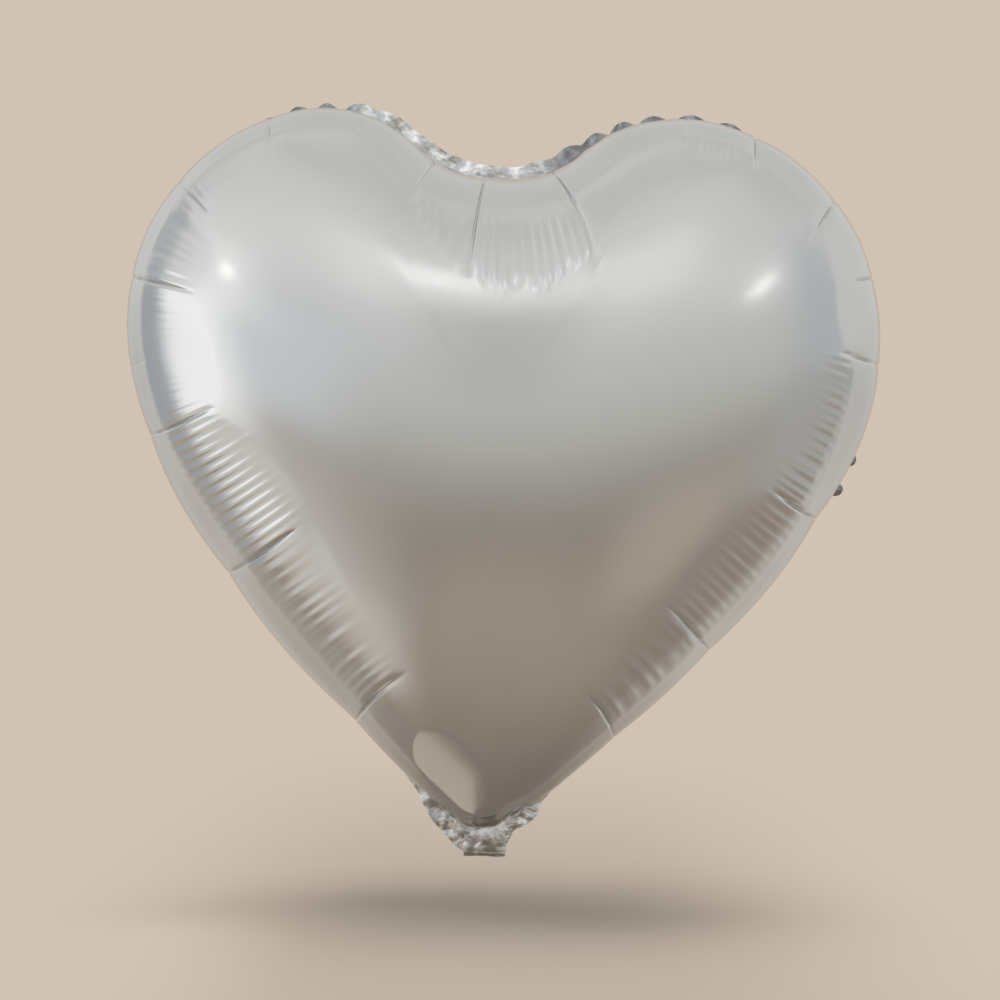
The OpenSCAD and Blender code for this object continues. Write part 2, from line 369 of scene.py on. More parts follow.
def ripple_form(flat, l, reach, ripples, seed):
    """Ripples of one petal, which fan out between its creases: how many, how far from the band
    they start, their height, how uneven they are, over how much of the petal they die away, and
    how much of them is left at its middle."""
    form = np.zeros(l.shape)
    rng = np.random.default_rng(seed)
    for petal, count, start, height, jitter, tail, middle in ripples:
        following = (petal + 1) % CREASE_COUNT
        width = (crease_l[following] - crease_l[petal]) % GIRTH
        first = -from_crease(flat, CREASES[petal], -0.1, 1.2)[1]
        last = from_crease(flat, CREASES[following], -0.1, 1.2)[1]
        inside = (first > 0) & (last > 0) & (reach < 80)
        inside &= np.abs(gap_along(l, crease_l[petal] + width / 2)) < width / 2 + 30
        share = np.where(inside, first / np.maximum(first + last, 1e-6), -1)
        round_off = 4 * share * (1 - share)
        arc, band = (CREASES[petal][k] + (CREASES[following][k] - CREASES[petal][k]) * share
                     + PETALS[petal][j] * round_off for k, j in ((7, 2), (6, 1)))
        for k in range(count):
            place = (k + 0.5 + jitter * rng.uniform(-0.5, 0.5)) / count
            end = arc * rng.uniform(0.92, 1.04)
            begin = band * rng.uniform(0.95, 1.1) + start
            tall = height * rng.uniform(1 - 0.7 * jitter, 1 + 0.3 * jitter)
            tall *= middle + (1 - middle) * abs(2 * place - 1) ** 1.5
            ridge = np.exp(-((share - place) * count / 0.36) ** 2) * inside
            form += (tall * ridge * smooth_step(reach, begin - 1.5, begin + 2.5)
                     * (1 - smooth_step(reach, end - tail * arc, end + 2)))
    return form


def band_form(l, reach, depth):
    """Along the rim the film is a steep flat band, with a crisp corner to the petals."""
    edge = along_petals(l, [c[6] for c in CREASES], [p[1] for p in PETALS])
    part = np.clip(reach / edge, 0, 1)
    return -4 * depth * part * (1 - part)


def facet_form(points, out, facing, near, depth):
    """A flat facet pressed into the film where it faces that way, near a place."""
    facing = np.array(facing, float) / np.linalg.norm(facing)
    start = np.argmin(((points[..., [0, 2]] - near) ** 2).sum(-1))
    beyond = (points - points.reshape(-1, 3)[start]) @ facing + depth
    return -np.clip(beyond, 0, None) / np.clip(out @ facing, 0.5, None)


def film_mesh(name, points):
    """A mesh from the grid, with fewer columns nearer the crown."""
    columns, rows = points.shape[:2]
    edge_rows = len(foot_rows) + len(EDGE_ROWS)
    step_of = np.ones(rows, int)
    for row in range(edge_rows, rows):
        step_of[row] = max([s for r, s in COARSER_AT.items() if row - edge_rows >= r - 1] or [1])
    number = -np.ones((columns, rows), int)
    used = [(i, j) for j in range(rows) for i in range(0, columns, step_of[j])]
    for n, (i, j) in enumerate(used):
        number[i, j] = n
    vertices = [points[i, j] for i, j in used]
    faces = []
    for j in range(rows - 1):
        s, s2 = step_of[j], step_of[j + 1]
        for i in range(0, columns, s2):
            a = [number[(i + k) % columns, j] for k in range(0, s2 + 1, s)]
            b, c = number[i, j + 1], number[(i + s2) % columns, j + 1]
            if len(a) == 2:
                faces.append((a[0], a[1], c, b))
            else:
                faces += [(a[0], a[1], b), (a[1], c, b), (a[1], a[2], c)]
    last = [number[i, rows - 1] for i in range(0, columns, step_of[-1])]
    middle = len(vertices)
    side_of = math.copysign(1, points[0, -1, 1])
    vertices.append(np.array([CENTRE[0], side_of * DEPTH, CENTRE[1]]))
    faces += [(last[k], last[(k + 1) % len(last)], middle) for k in range(len(last))]
    if side_of < 0:
        faces = [f[::-1] for f in faces]
    mesh = bpy.data.meshes.new(name)
    mesh.from_pydata((np.array(vertices) * MM).tolist(), [], faces)
    mesh.shade_smooth()
    piece = bpy.data.objects.new(name, mesh)
    bpy.context.scene.collection.objects.link(piece)
    return piece


smooth_film, film_reach = film_grid()
film_out = grid_normals(smooth_film)
film_l = np.repeat(column_l[:, None], film_reach.shape[1], 1)

# The petals that ripple, each with the values that ripple_form lists.
FRONT_RIPPLES = [
    (0, 11, 1, 0.50, 0.8, 0.4, 1),
    (1, 15, 1, 0.50, 0.3, 0.45, 1),
    (2, 17, 2, 0.48, 0.4, 0.45, 0.7),
    (5, 11, 0, 0.26, 0.6, 0.4, 1),
    (6, 10, 0, 0.26, 0.5, 0.4, 1),
    (8, 12, 5, 0.72, 0.25, 0.12, 1),
    (9, 7, 6, 0.40, 0.7, 0.2, 1),
    (11, 9, 0, 0.14, 0.5, 0.4, 1),
    (12, 12, 0, 0.20, 0.4, 0.4, 1),
    (13, 9, 2, 0.34, 0.8, 0.5, 1),
    (14, 24, 4, 0.26, 0.8, 0.5, 0.1),
    (15, 15, 1, 0.62, 0.1, 0.45, 1),
    (16, 19, 1, 0.36, 0.9, 0.5, 1),
]
BAND_DEPTH = 0.9
# Just over the neck the film is pressed flat: which way the facet faces, its place and its depth.
FACET_FACING, FACET_PLACE, FACET_DEPTH = (-0.19, -0.76, -0.62), (-15, 21), 1.5
front_form = (
    petal_form(film_l, film_reach)
    + crease_form(smooth_film[..., [0, 2]], CREASES + TUCKS)
    + ripple_form(smooth_film[..., [0, 2]], film_l, film_reach, FRONT_RIPPLES, 7)
    + band_form(film_l, film_reach, BAND_DEPTH)
    + facet_form(smooth_film, film_out, FACET_FACING, FACET_PLACE, FACET_DEPTH)
)
front = film_mesh("front_film", smooth_film + film_out * front_form[..., None])


class Socket:
    """A number that varies over a surface, so that sums on it are written as sums."""

    def __init__(self, material, socket):
        self.material, self.socket = material, socket

    def join(self, operation, other, swapped=False):
        pair = [self, other][::-1] if swapped else [self, other]
        return self.material.node("Math", {"operation": operation}, dict(enumerate(pair)))["Value"]

    def __add__(self, other):
        return self.join("ADD", other)

    def __radd__(self, other):
        return self.join("ADD", other)

    def __sub__(self, other):
        return self.join("SUBTRACT", other)

    def __rsub__(self, other):
        return self.join("SUBTRACT", other, True)

    def __mul__(self, other):
        return self.join("MULTIPLY", other)

    def __rmul__(self, other):
        return self.join("MULTIPLY", other)


class Outputs:
    """A node's outputs, by name."""

    def __init__(self, material, node):
        self.material, self.node = material, node

    def __getitem__(self, name):
        return Socket(self.material, self.node.outputs[name])


class Finish:
    """A tree of shader nodes, for a material or for the world."""

    def __init__(self, owner):
        owner.use_nodes = True
        self.owner, self.tree = owner, owner.node_tree
        self.tree.nodes.clear()

    def node(self, kind, settings=None, inputs=None):
        made = self.tree.nodes.new("ShaderNode" + kind)
        for name, value in (settings or {}).items():
            if name == "stops":
                ramp = made.color_ramp
                while len(ramp.elements) < len(value):
                    ramp.elements.new(0.5)
                for element, (place, colour) in zip(ramp.elements, value):
                    element.position, element.color = place, colour
            else:
                setattr(made, name, value)
        for name, value in (inputs or {}).items():
            if isinstance(value, Socket):
                self.tree.links.new(value.socket, made.inputs[name])
            else:
                made.inputs[name].default_value = value
        return Outputs(self, made)

    def blend(self, share, first, second):
        """Mixes two colours, which sit behind the sixth and seventh sockets of a Mix node."""
        mix = self.node("Mix", {"data_type": "RGBA"}, {0: share, 6: first, 7: second})
        return Socket(self, mix.node.outputs[2])

    def noise(self, scale, detail=2.0, **more):
        place = self.node("TexCoord")["Object"]
        return self.node("TexNoise", {}, {"Vector": place, "Scale": scale, "Detail": detail, **more})["Fac"]

    def ramp(self, value, low, high):
        return self.node("MapRange", {"interpolation_type": "SMOOTHSTEP"},
                         {"Value": value, "From Min": low, "From Max": high})["Result"]


def material(name):
    return Finish(bpy.data.materials.new(name))


FOIL_LIGHT = (0.590, 0.590, 0.583, 1)
FOIL_DARK = (0.572, 0.572, 0.566, 1)
foil = material("satin_foil")
patches = foil.noise(9.0, 3.0)
grain = foil.noise(2600.0, 1.0)
slow = foil.noise(60.0, 2.0)
foil_bump = foil.node("Bump", {}, {"Height": grain * 0.5 + slow, "Strength": 0.02, "Distance": 0.0004})
foil_shader = foil.node("BsdfPrincipled", {}, {
    "Base Color": foil.blend(patches, FOIL_DARK, FOIL_LIGHT),
    "Metallic": 1.0,
    "Roughness": 0.15 + 0.05 * slow,
    "Normal": foil_bump["Normal"],
})
foil.node("OutputMaterial", {}, {"Surface": foil_shader["BSDF"]})

front.data.materials.append(foil.owner)
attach(front, "balloon")
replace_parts(front, "front_panel")

# ------------------------------------------------------------------------------------------
# Rear panel.
# The same film and the same gathers as the front, because the weld pinches both at once.
# Its creases run in to other depths and its ripples bunch in other places.
# ------------------------------------------------------------------------------------------
rng = np.random.default_rng(21)
rear_creases = []
for start, end, depth, width, bow in (c[:5] for c in CREASES):
    reach = rng.uniform(0.8, 1.25)
    end = tuple(np.array(start) + (np.array(end) - np.array(start)) * reach)
    rear_creases.append((start, end, depth * rng.uniform(0.8, 1.1), width, bow * rng.uniform(-1, 1)))
rear_ripples = [(petal, count + int(rng.integers(-1, 2)), start, height * rng.uniform(0.8, 1.2), *more)
                for petal, count, start, height, *more in FRONT_RIPPLES]
mirrored = smooth_film * [1, -1, 1]
rear_form = (
    petal_form(film_l, film_reach)
    + crease_form(smooth_film[..., [0, 2]], rear_creases)
    + ripple_form(smooth_film[..., [0, 2]], film_l, film_reach, rear_ripples, 8)
    + band_form(film_l, film_reach, BAND_DEPTH)
)
rear = film_mesh("rear_film", mirrored + film_out * [1, -1, 1] * rear_form[..., None])
rear.data.materials.append(foil.owner)
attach(rear, "balloon")
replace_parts(rear, "rear_panel")

# ------------------------------------------------------------------------------------------
# Weld round the heart.
# The two films fused flat by a hot bar and trimmed 6 mm outside it. The filled panels pull it
# short, so it ruffles over the lobes, folds back along the flanks and lies open in the notch.
# ------------------------------------------------------------------------------------------
# The band's width, how far it is tucked in between the films, and its thickness.
WELD_WIDTH, WELD_TUCK, SHEET = 6.0, 1.0, 0.35
rng = np.random.default_rng(5)
CRUMPLE_TABLES = rng.uniform(-1, 1, (6, 64, 64))


def crumple(x, z, cell, table):
    """Height of flat triangular facets of about that size, as crushed film has."""
    warp = 0.35 * cell
    x, z = x + warp * np.sin(z / cell * 1.7 + table), z + warp * np.sin(x / cell * 1.3 + 2 * table)
    v = z / cell / 0.866
    u = x / cell - 0.5 * v
    i, j = np.floor(u).astype(int), np.floor(v).astype(int)
    fu, fv = u - i, v - j
    corner = [[CRUMPLE_TABLES[table, (i + a) % 64, (j + b) % 64] for b in (0, 1)] for a in (0, 1)]
    low = corner[0][0] + (corner[1][0] - corner[0][0]) * fu + (corner[0][1] - corner[0][0]) * fv
    high = (corner[1][1] + (corner[0][1] - corner[1][1]) * (1 - fu)
            + (corner[1][0] - corner[1][1]) * (1 - fv))
    return np.where(fu + fv < 1, low, high)


def sheet_mesh(name, points, thickness=SHEET):
    """A thin closed sheet round a grid of points, given in millimetres."""
    rows, columns = points.shape[:2]
    normal = np.cross(np.gradient(points, axis=0), np.gradient(points, axis=1))
    normal /= np.maximum(np.linalg.norm(normal, axis=-1), 1e-9)[..., None]
    both = np.concatenate([(points + normal * thickness / 2).reshape(-1, 3),
                           (points - normal * thickness / 2).reshape(-1, 3)])
    count = rows * columns
    number = np.arange(count).reshape(rows, columns)
    faces = []
    for a, b in zip(number, number[1:]):
        for j in range(columns - 1):
            faces.append((a[j], b[j], b[j + 1], a[j + 1]))
            faces.append((a[j] + count, a[j + 1] + count, b[j + 1] + count, b[j] + count))
        faces.append((a[0], a[0] + count, b[0] + count, b[0]))
        faces.append((a[-1], b[-1], b[-1] + count, a[-1] + count))
    for row, turned in ((number[0], False), (number[-1], True)):
        for j in range(columns - 1):
            face = (row[j], row[j + 1], row[j + 1] + count, row[j] + count)
            faces.append(face[::-1] if turned else face)
    mesh = bpy.data.meshes.new(name)
    mesh.from_pydata((both * MM).tolist(), [], faces)
    mesh.shade_flat()
    piece = bpy.data.objects.new(name, mesh)
    bpy.context.scene.collection.objects.link(piece)
    return piece


def even_line(points, count):
    """A smooth line of evenly spaced points through the given ones."""
    points = np.array(points, float)
    padded_line = np.vstack([2 * points[0] - points[1], points, 2 * points[-1] - points[-2]])
    t = np.linspace(0, 1, 20, endpoint=False)[:, None]
    line = [0.5 * (2 * b + (c - a) * t + (2 * a - 5 * b + 4 * c - d) * t * t
                   + (3 * b - a - 3 * c + d) * t ** 3)
            for a, b, c, d in zip(padded_line, padded_line[1:], padded_line[2:], padded_line[3:])]
    line = np.vstack(line + [points[-1:]])
    run = np.concatenate([[0], np.cumsum(np.linalg.norm(np.diff(line, axis=0), axis=1))])
    at = np.linspace(0, run[-1], count)
    return np.stack([np.interp(at, run, line[:, k]) for k in (0, 1)], axis=1)


# The weld's band runs from the neck up one web, round the heart and down the other web.
NECK_END = -12.0
WEB_RIGHT = [(9.3, NECK_END), (9.5, -10.9), (12.7, -4.8), (15.0, -0.6), (21.2, 2.5), (26.4, 7.4),
             (30.5, 16.5)]
WEB_LEFT = [(-10.6, NECK_END), (-11.2, -11.6), (-15.2, -8.6), (-21.2, -2.4), (-26.6, 3.4),
            (-31.5, 11.5), (-35.2, 18.8)]
CHANNEL = 7.5
FLANK_FROM = 1.12
ruffle_l = rim_l[::4]
ring = round_rim(rim_stage, ruffle_l) >= FLANK_FROM
ring_l = ruffle_l[ring]
seam = rim - rim_out * (OVERHANG * rim_bulge)[:, None]
ring_seam = np.stack([round_rim(seam[:, k], ring_l) for k in (0, 1)], axis=1)
ring_out = np.stack([round_rim(rim_out[:, k], ring_l) for k in (0, 1)], axis=1)
# Stages 0 to 4 run up the right side and 4 to 8 down the left.
ring_stage = round_rim(np.where(rim_l < GIRTH / 2, rim_stage, 8 - rim_stage), ring_l)
# By the band's stages: how far back it leans, how far it swings to and fro, both in degrees, the
# length of one swing, and how much wider than the plain weld it is.
RUFFLE_STAGE = [1.1, 1.6, 2.2, 2.5, 2.7, 3.3, 3.5, 3.8, 4.0, 4.6, 4.85, 4.95, 5.1, 5.3, 5.6, 6.5, 6.9]
RUFFLE_LEAN = [55, 40, 50, 50, 46, 44, 30, 12, 6, 6, 10, 45, 46, 50, 45, 40, 55]
RUFFLE_SWING = [10, 25, 20, 24, 34, 34, 24, 8, 6, 6, 10, 34, 30, 24, 22, 25, 10]
RUFFLE_PITCH = [30, 26, 24, 20, 18, 18, 18, 22, 24, 26, 20, 18, 18, 20, 24, 26, 30]
RUFFLE_WIDER = [0, 0, 0, 0.5, 1.5, 2.0, 3.0, 2.0, 1.2, 3.2, 3.6, 2.0, 1.2, 0.5, 0, 0, 0]
# Where the flanks' weld stands out past the panel in a tooth, and by how much more.
TEETH = [((181, 190), 5.6), ((174, 175), 6.2), ((-145, 140), 2.6)]
TOOTH_REACH = 4.2
lean, swing, pitch, wider = (np.interp(ring_stage, RUFFLE_STAGE, table) for table in
                             (RUFFLE_LEAN, RUFFLE_SWING, RUFFLE_PITCH, RUFFLE_WIDER))
beat = 2 * math.pi / (pitch * (1 + 0.18 * np.sin(ring_l / 23)))
beat = np.cumsum(beat) * (ruffle_l[1] - ruffle_l[0])
# The arcsine of a sine swings to and fro in straight lines, with their corners just rounded.
angle = lean + swing * np.arcsin(0.97 * np.sin(beat + 2.2)) / 1.33
for tip, longer in TEETH:
    near = np.exp(-np.abs(gap_along(ring_l, place_on_rim(tip)) / TOOTH_REACH) ** 3)
    wider, angle = wider + longer * near, angle * (1 - near)
angle = np.radians(angle)
across = np.linspace(0, 1, 8)
full_width = (WELD_WIDTH + wider) * (1 + 0.05 * np.sin(ring_l / 7.3) + 0.04 * np.sin(ring_l / 3.1))
curl = angle[:, None] * (0.35 + 0.65 * across)[None]
step = (full_width / (len(across) - 1))[:, None]
out_run, back_run = (np.cumsum(np.hstack([np.zeros((len(ring_l), 1)), part[:, 1:] * step]), axis=1)
                     for part in (np.cos(curl), np.sin(curl)))
ring_flat = ring_seam[:, None] + ring_out[:, None] * (out_run - WELD_TUCK)[..., None]


def web_strip(web, right_side):
    """Points of a web, from the neck's open end up to the flank. Its inner line follows the
    panel's seam, by one point in sixty."""
    sign = 1 if right_side else -1
    foot = seam[(rim_stage > 0.27) & (rim_stage < FLANK_FROM) & (np.sign(rim[:, 0]) == sign)]
    foot = foot[np.argsort(np.abs(foot[:, 0]))]
    end_out = ring_flat[0, -1] if right_side else ring_flat[-1, -1]
    end_in = ring_flat[0, 0] if right_side else ring_flat[-1, 0]
    outer = even_line(web + [tuple(end_out)], 60)
    inner = even_line([(sign * CHANNEL, NECK_END), (sign * CHANNEL, -6), (sign * CHANNEL, 0.2)]
                      + [tuple(p) for p in foot[20::60]] + [tuple(end_in)], 60)
    flat = inner[:, None] + (outer - inner)[:, None] * across[None, :, None]
    return flat[:-1]


web_r, web_l = web_strip(WEB_RIGHT, True), web_strip(WEB_LEFT, False)
weld_flat = np.concatenate([web_r, ring_flat, web_l[::-1]])
rise = np.linspace(0, 1, len(web_r))[:, None] ** 2
weld_y = np.concatenate([rise * back_run[:1], back_run, (rise * back_run[-1:])[::-1]])
# How crushed the band is, by its stages. The webs are crushed fully at the neck.
CRUSHED = [(1, 0.25), (3.4, 0.2), (3.9, 0.4), (4.1, 0.7), (4.8, 0.7), (5.0, 0.25), (7, 0.25)]
# How far the teeth may swing out to the front and the back.
SWING_LIMIT = 7
crushed = np.interp(ring_stage, *zip(*CRUSHED))
webbed = np.concatenate([1 - (1 - crushed[0]) * rise, crushed[:, None],
                         (1 - (1 - crushed[-1]) * rise)[::-1]])
x, z = weld_flat[..., 0], weld_flat[..., 1]
wrinkles = 1.1 * crumple(x, z, 6.5, 0) + 0.42 * crumple(x, z, 2.6, 1) + 0.16 * crumple(x, z, 1.3, 5)
weld_y = weld_y + webbed * wrinkles * np.minimum(1, 3 * across)
neck_part = smooth_step(-z, 2, 9)
weld_y = np.clip(weld_y, -SWING_LIMIT, SWING_LIMIT) * (1 - 0.75 * neck_part)
weld_points = np.stack([x, weld_y, z], axis=-1)
weld = sheet_mesh("edge_weld", weld_points)

# Crushed film glints in patches, painted into its colour as bright patches. Where it shows its
# front face over the lobes and in the flanks' teeth it is painted dark as shade, and it is darker
# low down, at the neck, its webs and the tail. The colours are those of its plain and bright patches.
WELD_PLAIN, WELD_BRIGHT = (0.52, 0.52, 0.52, 1), (0.82, 0.825, 0.83, 1)
# Darker colours for low down, at the neck, its webs and the tail.
LOW_PLAIN, LOW_BRIGHT = (0.40, 0.39, 0.38, 1), (0.70, 0.70, 0.70, 1)
# Dark colours of the painted shade on the weld's front faces.
PAINTED_SHADE_PLAIN, PAINTED_SHADE_BRIGHT = (0.19, 0.195, 0.20, 1), (0.32, 0.325, 0.33, 1)
weld_film = material("welded_film")
# Where the bright patches lie: painted glints.
bright = weld_film.ramp(weld_film.noise(170.0, 1.5), 0.38, 0.66)
place = weld_film.node("SeparateXYZ", {}, {"Vector": weld_film.node("TexCoord")["Object"]})
from_notch = weld_film.node("Math", {"operation": "ABSOLUTE"}, {0: place["X"] + 0.025})["Value"]
facing = weld_film.node("SeparateXYZ", {}, {"Vector": weld_film.node("NewGeometry")["True Normal"]})
# Painted shade lies on the weld's front faces over the lobes and in the flanks' teeth.
on_lobes = weld_film.ramp(place["Z"], 0.28, 0.30) * weld_film.ramp(from_notch, 0.040, 0.055)
on_flank = weld_film.ramp(place["X"], 0.160, 0.165) * (1 - weld_film.ramp(place["Z"], 0.20, 0.21))
painted_shade = (on_lobes + on_flank) * weld_film.ramp(0 - facing["Y"], -0.1, 0.1)
weld_bump = weld_film.node("Bump", {}, {
    "Height": weld_film.noise(420.0, 1.5), "Strength": 0.30, "Distance": 0.0010})
# One low down, below 20 to 35 mm: the neck, its webs and the tail.
low_down = 1 - weld_film.ramp(place["Z"], 0.02, 0.035)
plain_of = weld_film.blend(low_down, WELD_PLAIN, LOW_PLAIN)
bright_of = weld_film.blend(low_down, WELD_BRIGHT, LOW_BRIGHT)
weld_shader = weld_film.node("BsdfPrincipled", {}, {
    "Base Color": weld_film.blend(painted_shade, weld_film.blend(bright, plain_of, bright_of),
                                  weld_film.blend(bright, PAINTED_SHADE_PLAIN, PAINTED_SHADE_BRIGHT)),
    "Metallic": 1.0,
    "Roughness": 0.18 + 0.10 * bright,
    "Normal": weld_bump["Normal"],
})
weld_film.node("OutputMaterial", {}, {"Surface": weld_shader["BSDF"]})
weld.data.materials.append(weld_film.owner)
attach(weld, "balloon")
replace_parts(weld, "seal_rim")

# ------------------------------------------------------------------------------------------
# Neck.
# The open end that the balloon is filled through: the same two films run down past the tip as
# a flat tube, crushed by handling and folded over at its end.
# ------------------------------------------------------------------------------------------
NECK_HALF, NECK_SHEET = 10.5, 0.2
tip_line = seam[np.abs(seam[:, 0]) < 14]
tip_line = tip_line[tip_line[:, 1] < 40]
tip_line = tip_line[np.argsort(tip_line[:, 0])]


def neck_film(name, face, table):
    """One film of the neck. face is -1 in front and 1 behind."""
    u = np.linspace(-1, 1, 43)[:, None]
    v = np.linspace(0, 1, 33)[None]
    top = np.interp(u * NECK_HALF, tip_line[:, 0], tip_line[:, 1]) + 0.3
    x = u * NECK_HALF * (1 + 0.03 * np.sin(9 * v))
    z = NECK_END + (top - NECK_END) * v
    puff = 0.75 + 1.1 * (1 - u ** 2) * (0.35 + 0.65 * np.sin(math.pi * np.clip(v, 0, 1)))
    folds = 0.36 * crumple(x, z * 0.55, 4.2, table) + 0.17 * crumple(x, z * 0.8, 1.8, table + 1)
    y = face * np.maximum(puff + folds * (0.3 + 0.7 * (1 - u ** 2)), 0.62)
    piece = sheet_mesh(name, np.stack([x + 0 * z, y, z + 0 * x], axis=-1), NECK_SHEET)
    piece.data.materials.append(weld_film.owner)
    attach(piece, "balloon")
    return piece


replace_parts(neck_film("neck_front", -1, 2), "neck_front_ply")
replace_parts(neck_film("neck_rear", 1, 3), "neck_rear_ply")

# ------------------------------------------------------------------------------------------
# Tail.
# The rest of the neck's tube, folded up behind the heart. Its two films are fused down both
# edges by a ribbed bar, and lie loose on each other between the welds.
# ------------------------------------------------------------------------------------------
FOLD_Y, FOLD_Z = 1.2, -12.2
FOLD_LEAN = math.radians(180 - 42.6388)
TAIL_ROOT, TAIL_LENGTH, TAIL_SHEET = -12.4, 45.0, 0.12


def folded(points):
    """Swings points drawn straight down from the fold up to where the tail lies."""
    y, z = points[..., 1] - FOLD_Y, points[..., 2] - FOLD_Z
    return np.stack([points[..., 0], FOLD_Y + y * math.cos(FOLD_LEAN) - z * math.sin(FOLD_LEAN),
                     FOLD_Z + y * math.sin(FOLD_LEAN) + z * math.cos(FOLD_LEAN)], axis=-1)


def tail_film(name, face, table):
    """One film of the tail. face is -1 in front and 1 behind, as it hangs."""
    u = np.linspace(-1, 1, 43)[:, None]
    v = np.linspace(0, 1, 73)[None]
    x = u * NECK_HALF * (1 + 0.012 * np.sin(13 * v + face)) + 0 * v
    z = TAIL_ROOT - TAIL_LENGTH * v + 0 * u
    puff = 0.22 + 0.55 * np.sqrt(np.clip(1 - (u * NECK_HALF / CHANNEL) ** 2, 0, 1))
    folds = 0.30 * crumple(x, z, 6.5, table) + 0.14 * crumple(x, z, 2.6, table + 1)
    y = face * np.maximum(puff + folds * (0.35 + 0.65 * (np.abs(u) < 0.72)), 0.14)
    piece = sheet_mesh(name, folded(np.stack([x, y, z], axis=-1)), TAIL_SHEET)
    piece.data.materials.append(weld_film.owner)
    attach(piece, "tail")
    return piece


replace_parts(tail_film("tail_front", -1, 3), "tail_front_ply")
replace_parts(tail_film("tail_rear", 1, 1), "tail_rear_ply")

RIB_PITCH, RIB_HEIGHT, RIB_SHEET = 0.75, 0.10, 0.30
for name, edge in (("tail_weld_left", -1), ("tail_weld_right", 1)):
    x = np.linspace(CHANNEL - 0.1, NECK_HALF + 0.15, 6)[:, None] * edge
    z = TAIL_ROOT - TAIL_LENGTH * np.linspace(0, 1, 181)[None]
    y = RIB_HEIGHT * np.sin(z * 2 * math.pi / RIB_PITCH)
    rib = sheet_mesh(name, folded(np.stack(np.broadcast_arrays(x, y, z), axis=-1)), RIB_SHEET)
    rib.data.materials.append(weld_film.owner)
    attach(rib, "tail")
    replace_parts(rib, "tail_side_welds")

# The film round the outside and the inside of the fold: its radius and the turn that it makes.
FOLD_SHEET = 0.15
for name, radius, first, last in (("fold_outer", 2.0, 174, 326), ("fold_inner", 0.42, 160, 340)):
    first, last = math.radians(first), math.radians(last)
    x, turn = np.meshgrid(np.linspace(-1, 1, 43) * (NECK_HALF - 0.1), np.linspace(first, last, 19),
                          indexing="ij")
    middle = np.sin((turn - first) / (last - first) * math.pi)
    r = radius * (1 + 0.20 * crumple(x, turn * 5.0, 4.0, 4) * middle)
    bent = np.stack([x, FOLD_Y + r * np.cos(turn), FOLD_Z + r * np.sin(turn)], axis=-1)
    strip = sheet_mesh(name, bent, FOLD_SHEET)
    strip.data.materials.append(weld_film.owner)
    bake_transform(strip)

# ------------------------------------------------------------------------------------------
# Valve.
# Two strips of clear film inside the neck, which the gas presses shut. They stay as they were
# built, because the neck hides them, and get the clear film's own finish.
# ------------------------------------------------------------------------------------------
CLEAR_PLAIN, CLEAR_HAZE = (0.80, 0.83, 0.86, 1), (0.90, 0.92, 0.94, 1)
clear = material("clear_valve_film")
haze = clear.noise(140.0, 3.0)
clear_shader = clear.node("BsdfPrincipled", {}, {
    "Base Color": clear.blend(haze, CLEAR_PLAIN, CLEAR_HAZE),
    "Roughness": 0.22 + 0.2 * haze,
    "Alpha": 0.45 + 0.2 * haze,
})
clear.node("OutputMaterial", {}, {"Surface": clear_shader["BSDF"]})
for name in ("valve_front_film", "valve_rear_film"):
    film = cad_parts[name]
    film.data.materials.clear()
    film.data.materials.append(clear.owner)

# ------------------------------------------------------------------------------------------
# Studio.
# A plain pale floor that fades into the backdrop, soft walls, a few lamps and the camera. The
# foil is a mirror, so most of this is made for what it reflects.
# ------------------------------------------------------------------------------------------
FLOOR_HEIGHT, FLOOR_RADIUS = -0.040, 3.0
FLOOR_COLOUR, BACKDROP_COLOUR = (0.40, 0.343, 0.29, 1), (0.64, 0.545, 0.455, 1)
bpy.ops.mesh.primitive_circle_add(vertices=96, radius=FLOOR_RADIUS, fill_type="TRIFAN",
                                  location=(0, 0, FLOOR_HEIGHT))
floor = bpy.context.object
floor.name = "floor"
paper = material("pale_floor")
spot = paper.node("SeparateXYZ", {}, {"Vector": paper.node("TexCoord")["Object"]})
sideways = paper.node("Math", {"operation": "ABSOLUTE"}, {0: spot["X"] - 0.012})["Value"]
corner = paper.ramp(0 - spot["X"], 0.07, 0.17) * paper.ramp(0 - spot["Y"], 0.03, 0.15)
gone = 1 - ((1 - paper.ramp(sideways, 0.05, 0.24)) * (1 - paper.ramp(spot["Y"], 0.06, 1.1))
            * (1 - paper.ramp(0 - spot["Y"], 0.30, 0.75)) * (1 - corner))
paper_shader = paper.node("MixShader", {}, {
    0: gone,
    1: paper.node("BsdfDiffuse", {}, {"Color": FLOOR_COLOUR})["BSDF"],
    2: paper.node("BsdfTransparent")["BSDF"],
})
paper.node("OutputMaterial", {}, {"Surface": paper_shader["Shader"]})
floor.data.materials.append(paper.owner)

# The walls round the balloon, by height of view: in front they are warm low down and brightest
# high up, those at both sides are dimmer, and the one behind is pale.
world = bpy.data.worlds.new("studio")
bpy.context.scene.world = world
sky = Finish(world)
way = sky.node("SeparateXYZ", {}, {"Vector": sky.node("TexCoord")["Generated"]})
FRONT_STOPS = [
    (-1.0, 0.30, 0.25, 0.20), (-0.9, 0.41, 0.345, 0.285), (-0.75, 0.46, 0.38, 0.315),
    (-0.55, 0.43, 0.362, 0.305), (-0.35, 0.425, 0.37, 0.315), (-0.25, 0.46, 0.42, 0.37),
    (-0.15, 0.55, 0.53, 0.485), (-0.05, 0.67, 0.66, 0.62), (0.05, 0.745, 0.745, 0.71),
    (0.15, 0.785, 0.79, 0.75), (0.25, 0.82, 0.83, 0.80), (0.35, 0.88, 0.88, 0.87),
    (0.45, 0.96, 0.96, 0.96), (0.55, 1.03, 1.03, 1.03), (0.65, 1.04, 1.04, 1.04),
    (0.75, 0.99, 0.99, 0.99), (0.85, 0.94, 0.94, 0.93), (0.94, 0.84, 0.84, 0.80),
    (0.97, 0.82, 0.82, 0.79), (1.0, 0.88, 0.88, 0.86),
]
